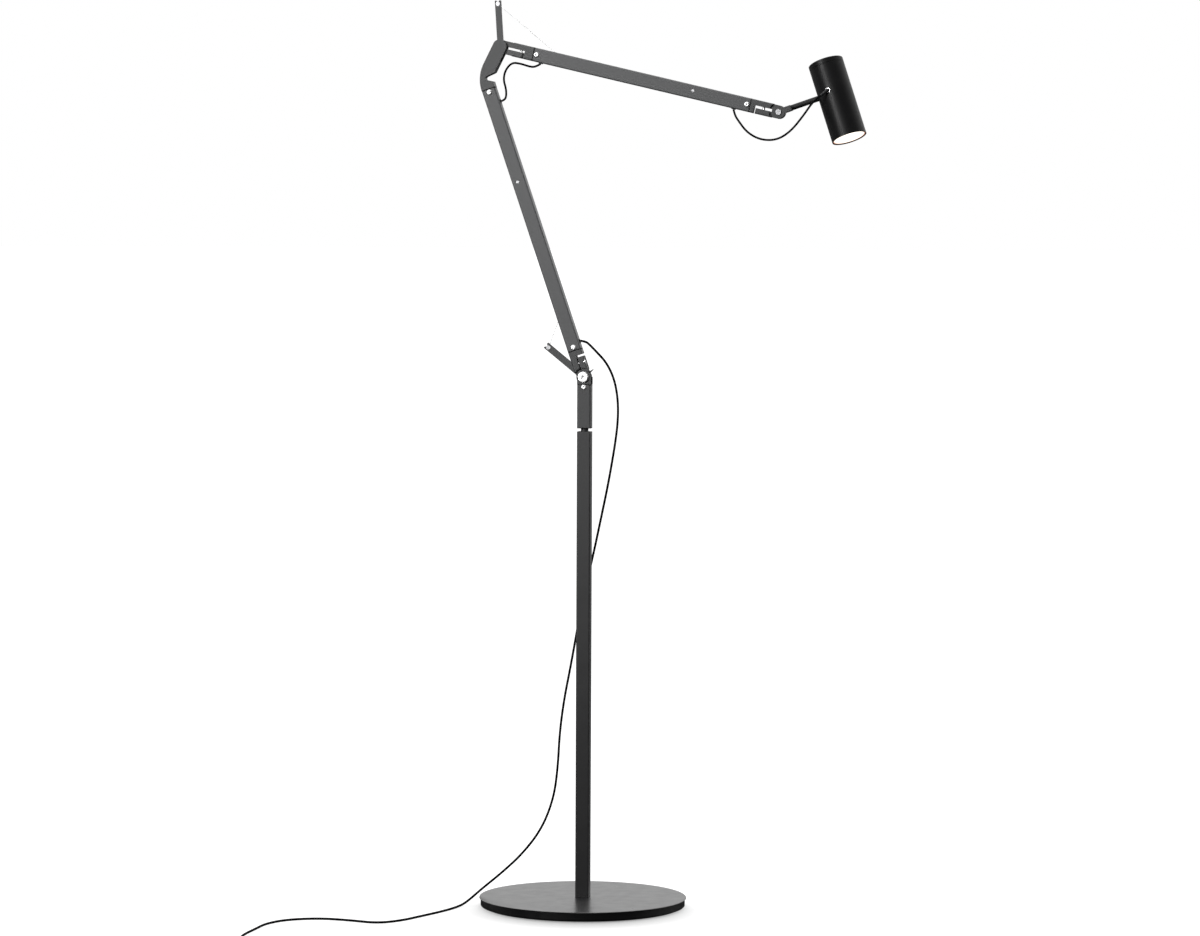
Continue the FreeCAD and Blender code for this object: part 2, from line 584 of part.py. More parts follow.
board = cyl(board_radius, V(0, 0, -sink_bottom - board_thickness), Z, board_thickness)
chip = cyl(led_radius, V(0, 0, -sink_bottom - board_thickness - led_height), Z, led_height)
save("led_board", head(board.fuse(chip)))
lens_low = -head_bottom + lens_inset
lens_high = lens_low + lens_thickness
wide = inside_radius - sink_gap
reflector_high = -sink_bottom - board_thickness
outer_cone = Part.makeCone(wide, led_radius + 3, reflector_high - lens_high, V(0, 0, lens_high), Z)
inner_cone = Part.makeCone(wide - reflector_wall, led_radius + 3 - reflector_wall,
                           reflector_high - lens_high, V(0, 0, lens_high), Z)
save("reflector", head(outer_cone.cut(inner_cone)))
save("lens", head(cyl(wide, V(0, 0, lens_low), Z, lens_thickness)))
eyelet = cyl(eyelet_radius, eyelet_out * (head_radius - 0.25), eyelet_out, eyelet_stand + 0.25)
eyelet = eyelet.cut(cyl(head_radius, V(0, 0, -20), Z, 40))
sleeve = cyl(eyelet_radius - eyelet_wall, eyelet_out * (head_radius - 2), eyelet_out, 2.5)
eyelet_hole = cyl(relief_root_radius, V(), eyelet_out, head_radius + 5)
save("head_eyelet", head(eyelet.fuse(sleeve).cut(eyelet_hole)))
relief_out = FreeCAD.Vector(relief_direction).normalize()
relief_start = head(Part.Vertex(eyelet_out * (head_radius + relief_stand))).Point
collar = head(cyl(relief_root_radius - 0.1, eyelet_out * (head_radius - 5), eyelet_out, 5 + relief_stand))
knuckle = Part.makeSphere(relief_root_radius - 0.1, relief_start)
taper = Part.makeCone(relief_root_radius - 0.1, relief_tip_radius, relief_length, relief_start, relief_out)
save("cord_relief", collar.fuse([knuckle, taper]))

# ---------------------------------------------------------------- free cables
# Each cable leaves its piece straight, and its other points are its route.
relief_tip = relief_start + relief_out * relief_length


def leaving(arm, x, run):
    """A port's outer face and the point straight out of it, in the lamp's frame."""
    face = V(x, 0, -half - grommet_flange)
    return [arm(Part.Vertex(face)).Point, arm(Part.Vertex(face - Z * run)).Point]


def beyond(place, *steps):
    """A route's points, given as steps from a place on the lamp."""
    return [place + V(*step) for step in steps]


elbow_route = beyond(elbow, (8.4, 0, -71.2), (7.9, 0, -60.2), (3.9, 0, -47.2), (6.9, 1, -33.2),
                     (16.4, 2, -22.7), (29.4, 2, -24.7), (42.4, 1, -29.2), (51.2, 0, -31.4))
head_route = beyond(tip, (-59.4, 0, -12.7), (-45.4, -1, -29.2), (-25.4, -3, -39.7), (-1.9, -6, -39.7),
                    (18.6, -13, -27.2))
head_end_route = beyond(tip, (37.6, -25.5, -5.2), (48.1, -34.5, 8.8))
fall_route = beyond(shoulder, (7, 0.5, 46.7), (18, 2.5, 35.7), (31.5, 6, 20.7), (42, 10, -1.8),
                    (47, 14, -29.8), (47, 19, -59.8), (42.5, 23, -95.8))
# Beside the pole each height is a share of the pole's.
pole_route = [(31, 28, 0.891), (20, 31, 0.817), (9, 31, 0.74), (-4, 32, 0.6615), (-14, 31, 0.583),
              (-23, 28, 0.505), (-32, 22, 0.432), (-37, 14, 0.363), (-38, 5, 0.293), (-43, 0, 0.228),
              (-60, -2, 0.1625), (-88, -4, 0.109), (-119, -6, 0.067), (-147, -10, 0.033), (-168, -26, 0.006)]
floor_route = [(-177, -54), (-191, -95), (-211, -138), (-232, -184), (-262, -212), (-304, -194),
               (-349, -184), (-393, -203), (-415, -243), (-419, -290), (-424, -335), (-423, -368)]
on_floor = main_radius + 0.1
main_route = [V(x, y, share * pole_top) for x, y, share in pole_route]
main_route += [V(x, y, on_floor) for x, y in floor_route]
join = (head_route[-1] + head_end_route[0]) * 0.5
split = (fall_route[-1] + main_route[0]) * 0.5
loop_start = leaving(lower, lower_loop_exit, loop_straight)
loop_end = leaving(upper, upper_loop_entry, loop_straight)[::-1]
head_start = leaving(upper, upper_cable_exit, head_straight)
head_end = [relief_tip + relief_out * head_straight, relief_tip]
fall_start = leaving(lower, lower_cord_exit, main_straight)
coil_outer = coil_middle_radius + coil_turns_wide * main_radius
coil_centre = V(main_route[-1].x + coil_outer - main_radius, main_route[-1].y - coil_behind, 0)
coil_touch = V(main_route[-1].x, coil_centre.y + coil_middle_radius, main_route[-1].z)
save("elbow_cord", rounded_route(loop_start + elbow_route + loop_end, loop_radius, "elbow_cord"))
save("head_cord", rounded_route(head_start + head_route + [join], loop_radius, "head_cord"))
save("head_cord_end", rounded_route([join] + head_end_route + head_end, loop_radius, "head_cord_end"))
save("main_cord_fall", rounded_route(fall_start + fall_route + [split], main_radius, "main_cord_fall"))
coil_inner = coil_middle_radius - coil_turns_wide * main_radius
coil = cyl(coil_outer, coil_centre + V(0, 0, 0.1), Z, coil_layers * 2 * main_radius)
coil = coil.cut(cyl(coil_inner, coil_centre, Z, 20))
main_tube = rounded_route([split] + main_route + [coil_touch], main_radius, "main_cord")
save("main_cord", main_tube.cut(coil))
tail_x, tail_y = coil_centre.x + coil_outer - main_radius, coil_centre.y
tail = [V(tail_x, tail_y + 6, tail_height), V(tail_x, tail_y + 24.8, 4.6),
        V(tail_x + tail_width / 2, tail_y + 32.6, 3.6), V(tail_x + tail_width, tail_y + 24.8, 6),
        V(tail_x + tail_width, tail_y + tail_end + 0.2, plug_height / 2)]
save("cord_coil", coil.fuse(rounded_route(tail, main_radius, "tail")))
coil_length = 2 * math.pi * coil_middle_radius * coil_turns_wide * coil_layers
print("coil centre", coil_centre, "length in the coil", round(coil_length), "touch", coil_touch)

plug_x = tail_x + tail_width - plug_width / 2
plug_box = box(0, plug_width, -plug_length, 0, 0, plug_height)
plug_box = plug_box.makeFillet(3, [e for e in plug_box.Edges if abs(e.tangentAt(0).y) > 0.99])
plug_pins = []
for side in (-1, 1):
    foot_point = V(plug_width / 2 + side * pin_pitch / 2, -plug_length, plug_height / 2)
    plug_pins.append(cyl(pin_radius, foot_point, Y * -1, pin_length))
relief = Part.makeCone(relief_wide, relief_narrow, relief_run, V(plug_width / 2, 0, plug_height / 2), Y)
plug_body = plug_box.fuse(plug_pins + [relief])
save("mains_plug", plug_body.translated(V(plug_x, tail_y + tail_end - relief_run, 0)))

print(len(nodes), "nodes")
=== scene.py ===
import math

import bmesh
import bpy
from bpy.props import FloatProperty, FloatVectorProperty, PointerProperty
from mathutils import Matrix, Vector


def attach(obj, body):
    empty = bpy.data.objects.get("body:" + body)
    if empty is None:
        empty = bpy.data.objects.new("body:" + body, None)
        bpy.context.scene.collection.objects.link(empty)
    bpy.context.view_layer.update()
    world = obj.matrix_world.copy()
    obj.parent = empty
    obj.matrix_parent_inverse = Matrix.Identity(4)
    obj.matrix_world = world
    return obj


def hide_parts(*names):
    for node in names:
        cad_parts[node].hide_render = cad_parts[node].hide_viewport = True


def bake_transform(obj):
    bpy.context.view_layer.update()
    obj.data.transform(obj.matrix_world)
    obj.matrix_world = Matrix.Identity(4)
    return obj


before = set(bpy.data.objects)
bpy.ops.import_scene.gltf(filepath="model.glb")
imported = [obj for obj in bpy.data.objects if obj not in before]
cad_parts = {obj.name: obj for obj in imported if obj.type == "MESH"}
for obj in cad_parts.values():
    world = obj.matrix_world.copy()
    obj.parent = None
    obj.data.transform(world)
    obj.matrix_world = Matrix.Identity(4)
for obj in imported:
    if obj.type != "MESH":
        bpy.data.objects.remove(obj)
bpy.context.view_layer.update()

bl_info = {
    "name": "Adjustable Arm Floor Lamp",
    "version": (1, 0, 0),
    "blender": (4, 5, 0),
    "location": "3D View > Sidebar > Floor Lamp",
    "description": "Builds the finished look of a folding-arm floor lamp round its frame",
    "category": "Object",
}

MM = 0.001

# Places that several pieces share, in metres, in the lamp's own frame.
LOWER_PORT = Vector((-0.1235, 0, 1.1639))
UPPER_PORT = Vector((-0.0661, 0, 1.2173))
HEAD_PORT = Vector((0.2130, 0, 1.1522))
MAINS_PORT = Vector((-0.0070, 0, 0.8199))
HEAD_JOIN = Vector((0.3065, -0.0192, 1.1320))
RELIEF_TIP = Vector((0.3403, -0.0324, 1.1707))
FALL_JOIN = Vector((0.0362, 0.0255, 0.6430))
SHOULDER = Vector((-0.001, 0, 0.7678))
LOWER_ALONG = Vector((-0.3206, 0, 0.9472))
ELBOW = Vector((-0.124406, 0, 1.242177))
UPPER_ALONG = Vector((0.97386, 0, -0.22716))
HEAD_ORIGIN = Vector((0.358372, 0, 1.175766))
HEAD_UP = Vector((-0.317973, 0.214735, 0.923462))
COIL_CENTRE = Vector((-0.3975, -0.4150, 0))
PLUG_ENTRY = Vector((-0.3448, -0.4070, 0.0070))

# Sizes that several pieces share. The tube's is in metres, the floor's and the dome's too,
# and the relief's and the wires' are in millimetres.
HALF_TUBE = 10 * MM
RELIEF_OUT = Vector((-12.7, -9, -11)).normalized()
RELIEF_LENGTH, RELIEF_ROOT, COLLAR_LENGTH = 14.0, 2.3, 7.1
FLOOR_RADIUS, DOME_RADIUS = 190, 200
WIRE_RADIUS, EYE_RADIUS, EYE_WIRE = 0.42, 2.62, 0.6

# Each cable's route between its fixed ends.
ELBOW_ROUTE = [
    (-0.1185, 0, 1.1656), (-0.1160, 0, 1.1710), (-0.1165, 0, 1.1820), (-0.1205, 0, 1.1950),
    (-0.1175, 0.001, 1.2090), (-0.1080, 0.002, 1.2195), (-0.0950, 0.002, 1.2175),
    (-0.0820, 0.001, 1.2132), (-0.0735, 0, 1.2128)]
HEAD_ROUTE = [
    (0.2150, 0, 1.1440), (0.2200, 0, 1.1360), (0.2330, -0.001, 1.1190), (0.2530, -0.003, 1.1085),
    (0.2765, -0.006, 1.1085), (0.2970, -0.013, 1.1210)]
HEAD_END_ROUTE = [(0.3160, -0.0255, 1.1430), (0.3265, -0.0345, 1.1570), (0.3343, -0.0366, 1.1655)]
FALL_ROUTE = [
    (0.001, 0, 0.8190), (0.007, 0.0005, 0.8140), (0.017, 0.0025, 0.8035), (0.0305, 0.006, 0.7885),
    (0.041, 0.010, 0.766), (0.046, 0.014, 0.738), (0.046, 0.019, 0.708), (0.0415, 0.023, 0.672)]
MAINS_ROUTE = [
    (0.031, 0.028, 0.614), (0.020, 0.031, 0.563), (0.009, 0.031, 0.510), (-0.004, 0.032, 0.456),
    (-0.014, 0.031, 0.402), (-0.023, 0.028, 0.348), (-0.032, 0.022, 0.298), (-0.037, 0.014, 0.250),
    (-0.038, 0.005, 0.202), (-0.043, 0, 0.157), (-0.060, -0.002, 0.112), (-0.088, -0.004, 0.075),
    (-0.119, -0.006, 0.046), (-0.147, -0.010, 0.023), (-0.168, -0.026, 0.004), (-0.177, -0.054, 0.0018),
    (-0.191, -0.095, 0.0018), (-0.211, -0.138, 0.0018), (-0.232, -0.184, 0.0018),
    (-0.262, -0.212, 0.0018), (-0.304, -0.194, 0.0018), (-0.349, -0.184, 0.0018),
    (-0.393, -0.203, 0.0018), (-0.415, -0.243, 0.0018), (-0.419, -0.290, 0.0018),
    (-0.424, -0.335, 0.0018), (-0.423, -0.368, 0.0018), (-0.423, -0.3946, 0.0018)]

TAIL_ROUTE = [(-0.3720, -0.4000, 0.0052), (-0.3720, -0.3902, 0.0046), (-0.3584, -0.3824, 0.0036),
              (-0.3448, -0.3902, 0.0060)]

# The slot of the record that each carried-over node takes its finish from.
SLOT_NODES = {
    "base_black": ["base_disc", "base_cover", "foot_plug"],
    "pole_black": ["pole_tube"],
    "arm_black": ["lower_tube", "upper_tube", "post_tube"],
    "casting_black": ["post_fork", "lower_lever", "lower_fitting", "elbow_block", "upper_lever",
                      "upper_inner_fitting", "upper_outer_fitting", "stem_fork", "stem_rod"],
    "bright_steel": ["post_screws", "shoulder_bolt", "shoulder_nut", "lower_screws", "upper_screws",
                     "upper_clamp_screws", "lower_clamp_screw", "head_eyelet", "elbow_pin"],
    "plain_steel": ["base_bolt", "swivel_spindle", "post_plug", "lower_lever_pin", "upper_lever_pin",
                    "lower_spring_anchor", "upper_spring_anchor", "tilt_screw"],
    "wire_steel": ["lower_wire", "upper_wire", "lower_spring", "upper_spring"],
    "black_nylon": ["pole_bush", "shoulder_washers", "elbow_washers", "tilt_washers"],
    "black_rubber": ["lower_grommets", "upper_grommets", "cord_relief"],
    "cable_black": ["elbow_cord", "head_cord", "head_cord_end", "main_cord", "main_cord_fall", "cord_coil",
                    "lower_inner_cable", "upper_inner_cable"],
    "plug_black": ["mains_plug"],
    "felt": ["base_pad"],
    "head_black": ["head_housing", "dimmer_cap"],
    "sink_aluminium": ["heat_sink"],
    "board_white": ["led_board"],
    "reflector_bright": ["reflector"],
    "lens_white": ["lens"],
}


# Nodes whose finish is a variant of their slot's.
NODE_FINISHES = {
    "post_tube": "anodised post", "lower_tube": "anodised lower arm", "upper_tube": "anodised upper arm",
    "stem_rod": "stem lacquer"}


# ------------------------------------------------------------------ settings
def colour(name, description, value):
    return FloatVectorProperty(
        name=name, description=description, default=value, size=3, min=0, max=1, subtype="COLOR")


class LampFinishes(bpy.types.PropertyGroup):
    """The colours of the lamp's finishes."""
    arm: colour("Arm black", "Satin anodised aluminium of the arms", (0.078, 0.079, 0.081))
    casting: colour("Casting black", "Lacquered end fittings and levers", (0.050, 0.051, 0.052))
    pole: colour("Pole black", "Lacquered steel pole", (0.029, 0.029, 0.030))
    base: colour("Base black", "Fine textured lacquer of the base", (0.012, 0.012, 0.0125))
    head: colour("Head black", "Semi-gloss lacquer of the head", (0.004, 0.004, 0.0043))
    steel: colour("Polished steel", "Screws, knob and eyelet", (0.92, 0.92, 0.92))
    sheath: colour("Cable black", "The cables' sheath", (0.003, 0.003, 0.0035))
    felt: colour("Felt", "Pad under the base", (0.020, 0.020, 0.021))
    glow: colour("Light", "Colour of the light in the head", (1.0, 0.93, 0.82))
    glow_strength: FloatProperty(
        name="Light strength", description="Brightness of the lit lens", default=1.7, min=0)


class LampCables(bpy.types.PropertyGroup):
    """The cables' sizes."""
    loop_diameter: FloatProperty(
        name="Arm cable", description="Diameter of the cable at the elbow and the head",
        default=0.003, min=0.001, unit="LENGTH")
    mains_diameter: FloatProperty(
        name="Mains cable", description="Diameter of the mains cable",
        default=0.0034, min=0.001, unit="LENGTH")


class LampStage(bpy.types.PropertyGroup):
    """The camera, the light and the floor."""
    azimuth: FloatProperty(
        name="Azimuth", description="How far round to the right the camera stands",
        default=math.radians(8.5), subtype="ANGLE")
    distance: FloatProperty(
        name="Distance", description="Level distance from the pole to the camera",
        default=6.2494, unit="LENGTH")
    height: FloatProperty(name="Height", description="Camera height", default=0.983, unit="LENGTH")
    pitch: FloatProperty(
        name="Pitch", description="How far the camera looks down", default=math.radians(3.173),
        subtype="ANGLE")
    yaw: FloatProperty(
        name="Yaw", description="How far the camera looks to the pole's right",
        default=math.radians(0.2047), subtype="ANGLE")
    roll: FloatProperty(
        name="Roll", description="The camera's small tilt", default=math.radians(0.25), subtype="ANGLE")
    lens: FloatProperty(name="Lens", description="Focal length in millimetres", default=130.2, min=1)
    floor: colour("Floor", "The plain floor and backdrop", (0.30, 0.30, 0.30))
    floor_glow: FloatProperty(
        name="Floor glow", description="How far the floor is lifted to white", default=0.95, min=0)
    daylight: FloatProperty(
        name="Daylight", description="Strength of the soft light all round", default=1.0, min=0)


def settings():
    return bpy.context.scene.floor_lamp


class FloorLamp(bpy.types.PropertyGroup):
    """All of the lamp's settings."""
    finishes: PointerProperty(type=LampFinishes)
    cables: PointerProperty(type=LampCables)
    stage: PointerProperty(type=LampStage)


# ------------------------------------------------------------------ materials
class Value:
    """A node's output. An expression on it adds the Math nodes that work it out."""

    def __init__(self, finish, socket):
        self.finish, self.socket = finish, socket

    def math(self, operation, first, second):
        return self.finish.node("ShaderNodeMath", {"operation": operation}, {0: first, 1: second})

    def __add__(self, other):
        return self.math("ADD", self, other)

    def __mul__(self, other):
        return self.math("MULTIPLY", self, other)

    def __rsub__(self, other):
        return self.math("SUBTRACT", other, self)

    __radd__ = __add__
    __rmul__ = __mul__


class Finish:
    """A material on one Principled shader."""

    def __init__(self, name, **constants):
        self.material = bpy.data.materials.new(name)
        self.material.use_nodes = True
        self.tree = self.material.node_tree
        self.surface = self.tree.nodes["Principled BSDF"]
        for socket, value in constants.items():
            self.feed(socket.replace("_", " ").title().replace("Ior", "IOR"), value)

    def node(self, kind, choices, inputs, output=0):
        """Adds a node: its choices first, then its sockets, then the output that is wanted."""
        made = self.tree.nodes.new(kind)
        for name, value in choices.items():
            if name == "stops":
                self.stops(made.color_ramp.elements, value)
            else:
                setattr(made, name, value)
        for key, value in inputs.items():
            self.join(made.inputs[key], value)
        return Value(self, made.outputs[output])

    def stops(self, elements, wanted):
        while len(elements) < len(wanted):
            elements.new(1)
        for element, (position, tone) in zip(elements, wanted):
            element.position = position
            element.color = (tone, tone, tone, 1)

    def join(self, socket, value):
        if isinstance(value, Value):
            self.tree.links.new(value.socket, socket)
        else:
            socket.default_value = value

    def feed(self, socket, value):
        """Sets or links one of the shader's own sockets."""
        if not isinstance(value, Value) and hasattr(value, "__len__") and len(value) == 3:
            value = (*value, 1)
        self.join(self.surface.inputs[socket], value)

    def place(self):
        return self.node("ShaderNodeTexCoord", {}, {}, "Object")

    def along(self, turn, stretch):
        """The object's coordinates turned about Y and squeezed, for a grain along local X."""
        return self.node("ShaderNodeMapping", {"vector_type": "POINT"}, {
            "Vector": self.place(), "Rotation": (0, turn, 0), "Scale": stretch})

    def noise(self, scale, detail=3, where=None):
        return self.node("ShaderNodeTexNoise", {}, {
            "Vector": where or self.place(), "Scale": scale, "Detail": detail})

    def tint(self, base, other, amount):
        """Mixes two colours by a varying amount."""
        return self.node("ShaderNodeMix", {"data_type": "RGBA"}, {
            0: amount, 6: (*base, 1), 7: (*other, 1)}, 2)

    def blend_to(self, tone, other, amount):
        """Takes a varying colour some of the way to a plain one."""
        return self.node("ShaderNodeMix", {"data_type": "RGBA"}, {0: amount, 6: tone, 7: (*other, 1)}, 2)

    def bump(self, height, depth, strength=1.0, below=None):
        inputs = {"Height": height, "Distance": depth, "Strength": strength}
        if below:
            inputs["Normal"] = below
        return self.node("ShaderNodeBump", {}, inputs)

    def eased(self, radius):
        """The surface's direction with its sharp corners rounded over by radius."""
        return self.node("ShaderNodeBevel", {"samples": 6}, {"Radius": radius})

    def corners(self, eased):
        """1 on a corner and 0 away from it."""
        true = self.node("ShaderNodeNewGeometry", {}, {}, "True Normal")
        same = self.node("ShaderNodeVectorMath", {"operation": "DOT_PRODUCT"}, {0: eased, 1: true}, "Value")
        return self.node("ShaderNodeMapRange", {"clamp": True}, {"Value": 1 - same, "From Max": 0.25})

    def seam(self, start, along, places, width):
        """1 in the thin joints that cross a bar at these distances along it, and 0 elsewhere: the mask for
        the painted shadow in the joints' gaps.
        """
        offset = self.node("ShaderNodeVectorMath", {"operation": "SUBTRACT"}, {0: self.place(), 1: start})
        distance = self.node(
            "ShaderNodeVectorMath", {"operation": "DOT_PRODUCT"}, {0: offset, 1: along}, "Value")
        total = 0
        for place in places:
            total = total + self.node(
                "ShaderNodeMath", {"operation": "COMPARE"}, {0: distance, 1: place, 2: width})
        return total


def shade(base, factor):
    return tuple(min(1, c * factor) for c in base)


def anodised(name, base, grain_turn, joint_shadows=None):
    """Satin anodised extrusion: fine die lines along the bar, a mottled sheen, and corners lightened with a
    painted highlight and rubbed wear.
    """
    f = Finish(name, metallic=0.0, ior=1.5, specular_ior_level=0.5)
    eased = f.eased(0.0006)
    worn_and_highlit_corners = f.corners(eased)
    lines = f.noise(1, 2, f.along(grain_turn, (14, 3200, 3200)))
    cloud = f.noise(38, 4)
    tone = f.tint(shade(base, 0.86), shade(base, 1.16), cloud)
    # The corners are lightened towards 1.7 times the base: a painted highlight along the rounded edges,
    # together with rubbed wear.
    tone = f.blend_to(tone, shade(base, 1.7), worn_and_highlit_corners * 0.8)
    roughness = 0.34 + 0.16 * cloud + 0.05 * lines
    if joint_shadows:
        # The joints get a painted shadow: a dark, rougher line where shade would fall in the gap between the
        # parts.
        joint_shadow = f.seam(*joint_shadows)
        tone = f.blend_to(tone, shade(base, 0.05), joint_shadow)
        roughness = roughness + 0.6 * joint_shadow
    f.feed("Base Color", tone)
    f.feed("Roughness", roughness)
    f.feed("Normal", f.bump(lines, 0.00002, 0.5, eased))
    return f.material


def lacquered(name, base, size, depth, rough, joint_shadows=None, level=0.5):
    """Sprayed lacquer with the fine orange-peel skin of a cast part."""
    f = Finish(name, ior=1.5, specular_ior_level=level)
    eased = f.eased(0.0005)
    worn_and_highlit_corners = f.corners(eased)
    skin = f.noise(size, 2)
    cloud = f.noise(55, 4)
    tone = f.tint(shade(base, 0.85), shade(base, 1.18), cloud)
    # The corners are lightened towards 1.8 times the base: a painted highlight along the rounded edges,
    # together with rubbed wear.
    tone = f.blend_to(tone, shade(base, 1.8), worn_and_highlit_corners * 0.8)
    # The joints get a painted shadow: a dark line where shade would fall in the gap between the parts.
    if joint_shadows:
        tone = f.blend_to(tone, shade(base, 0.12), f.seam(*joint_shadows))
    f.feed("Base Color", tone)
    f.feed("Roughness", rough + 0.12 * cloud)
    f.feed("Normal", f.bump(skin, depth, 0.6, eased))
    return f.material


def polished(name, base, rough):
    """Turned and polished metal with faint rings and smears."""
    f = Finish(name, metallic=1.0)
    smear = f.noise(420, 4)
    f.feed("Base Color", f.tint(shade(base, 0.93), shade(base, 1.05), smear))
    f.feed("Roughness", rough + 0.1 * smear)
    f.feed("Normal", f.bump(f.noise(5200, 1), 0.000004, 0.4))
    return f.material


def sheathing(name, base, rough, level=0.5):
    """Moulded or extruded plastic with a faintly rubbed skin."""
    f = Finish(name, ior=1.5, specular_ior_level=level)
    rub = f.noise(160, 4)
    f.feed("Base Color", f.tint(base, shade(base, 2.2), rub * rub))
    f.feed("Roughness", rough + 0.2 * rub)
    f.feed("Normal", f.bump(f.noise(2600, 1), 0.000005, 0.4))
    return f.material


def felt(name, base):
    """Pressed wool: a tangle of short fibres."""
    f = Finish(name, sheen_weight=0.4, roughness=0.95)
    fibres = f.noise(1, 5, f.along(0.6, (900, 3400, 900)))
    f.feed("Base Color", f.tint(shade(base, 0.6), shade(base, 2.0), fibres))
    f.feed("Normal", f.bump(fibres, 0.0003))
    return f.material


def opal(name, glow, strength):
    """The lit diffuser, a little warmer towards its rim."""
    f = Finish(name, roughness=0.35, base_color=(0.9, 0.88, 0.84), emission_strength=strength)
    tone = f.tint(glow, shade(glow, 0.94), f.noise(60, 2))
    offset = f.node("ShaderNodeVectorMath", {"operation": "SUBTRACT"}, {0: f.place(), 1: HEAD_ORIGIN})
    aside = f.node("ShaderNodeVectorMath", {"operation": "CROSS_PRODUCT"}, {0: offset, 1: HEAD_UP})
    out = f.node("ShaderNodeVectorMath", {"operation": "LENGTH"}, {0: aside}, "Value")
    rim = f.node("ShaderNodeMapRange", {"clamp": True}, {
        "Value": out, "From Min": 0.0212, "From Max": 0.0230})
    f.feed("Emission Color", f.blend_to(tone, (0.30, 0.13, 0.08), rim))
    return f.material


def reflector_lining(name, glow):
    """Bright inner cone, washed with the lamp's own light."""
    f = Finish(name, metallic=1.0, roughness=0.3, emission_strength=0.6)
    cloud = f.noise(90, 2)
    f.feed("Base Color", f.tint((0.85, 0.80, 0.72), (0.95, 0.92, 0.86), cloud))
    f.feed("Emission Color", f.tint(glow, shade(glow, 0.8), cloud))
    return f.material


def all_finishes():
    """The material for each of the record's slots."""
    s = settings().finishes
    black = tuple(s.sheath)
    return {
        "base_black": lacquered("textured base lacquer", s.base, 2200, 0.0000008, 0.24, level=0.75),
        "pole_black": anodised("pole lacquer", s.pole, math.radians(90)),
        "arm_black": anodised("anodised arm", s.arm, 0),
        # The last tuple gives where a bar's joints take a painted shadow: start, direction, distances along
        # it and width.
        "post": anodised("anodised post", shade(s.arm, 0.6), math.radians(90),
                         ((0, 0, 0), (0, 0, 1), (0.7575, 0.6939), 0.0011)),
        "lower_arm": anodised("anodised lower arm", s.arm, math.radians(71.3),
                              (SHOULDER, LOWER_ALONG, (0.0399, 0.4363), 0.0012)),
        "upper_arm": anodised("anodised upper arm", s.arm, math.radians(-13.13),
                              (ELBOW, UPPER_ALONG, (0.0499, 0.3723), 0.0012)),
        "casting_black": lacquered("casting lacquer", s.casting, 2600, 0.00003, 0.42),
        "bright_steel": polished("polished steel", s.steel, 0.38),
        "plain_steel": polished("plain steel", (0.46, 0.46, 0.47), 0.34),
        "wire_steel": polished("drawn wire", (0.9, 0.9, 0.9), 0.45),
        "black_nylon": sheathing("black nylon", (0.012, 0.012, 0.013), 0.45),
        "black_rubber": sheathing("black rubber", (0.010, 0.010, 0.011), 0.55),
        "cable_black": sheathing("cable sheath", black, 0.75, 0.1),
        "plug_black": sheathing("moulded plug", (0.012, 0.012, 0.013), 0.5),
        "felt": felt("felt", s.felt),
        # The head's joints take a painted shadow too, at these distances along its axis.
        "head_black": lacquered("head lacquer", s.head, 3000, 0.000006, 0.36,
                                (HEAD_ORIGIN, HEAD_UP, (0.0398, -0.0700), 0.0006), 0.19),
        "stem": lacquered("stem lacquer", shade(s.casting, 0.2), 2600, 0.00001, 0.45, level=0.3),
        "sink_aluminium": polished("turned aluminium", (0.62, 0.62, 0.64), 0.35),
        "board_white": sheathing("board mask", (0.75, 0.75, 0.72), 0.4),
        "reflector_bright": reflector_lining("reflector", s.glow),
        "lens_white": opal("opal diffuser", s.glow, s.glow_strength),
    }


# ------------------------------------------------------------------ shaping
def add_object(name, data, body=None):
    made = bpy.data.objects.new(name, data)
    bpy.context.scene.collection.objects.link(made)
    if body:
        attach(made, body)
    return made


def dress(piece, slot):
    """Gives a piece its slot's finish."""
    piece.data.materials.clear()
    piece.data.materials.append(bpy.data.materials[FINISH_NAMES[slot]])


FINISH_NAMES = {
    "base_black": "textured base lacquer", "pole_black": "pole lacquer", "arm_black": "anodised arm",
    "casting_black": "casting lacquer", "bright_steel": "polished steel", "plain_steel": "plain steel",
    "wire_steel": "drawn wire", "black_nylon": "black nylon", "black_rubber": "black rubber",
    "cable_black": "cable sheath", "plug_black": "moulded plug", "felt": "felt",
    "head_black": "head lacquer", "sink_aluminium": "turned aluminium", "board_white": "board mask",
    "reflector_bright": "reflector", "lens_white": "opal diffuser"}


def axes(origin, out, across=(0, 0, 1)):
    """A frame at origin whose Z points out and whose X lies as near as it can to across."""
    z = Vector(out).normalized()
    x = Vector(across) - z * z.dot(Vector(across))
    if x.length < 1e-4:
        x = Vector((1, 0, 0)) - z * z.x
    x.normalize()
    turn = Matrix((x, z.cross(x), z)).transposed().to_4x4()
    return Matrix.Translation(origin) @ turn


def ring(bm, points):
    return [bm.verts.new(p) for p in points]


def skin(bm, rings, close_first=False, close_last=False):
    """Joins rings of equal count into a surface, and caps its ends on request."""
    for a, b in zip(rings, rings[1:]):
        for i in range(len(a)):
            j = (i + 1) % len(a)
            bm.faces.new((a[i], a[j], b[j], b[i]))
    if close_first:
        bm.faces.new(rings[0][::-1])
    if close_last:
        bm.faces.new(rings[-1])


def circle(radius, height, count, sides=None, flat=None):
    """Points round a circle, or on a regular polygon with its corners rounded off by the count."""
    points = []
    for i in range(count):
        a = 2 * math.pi * i / count
        r = radius
        if sides:
            step = 2 * math.pi / sides
            r = flat / math.cos((a + step / 2) % step - step / 2)
        points.append(Vector((r * math.cos(a), r * math.sin(a), height)))
    return points


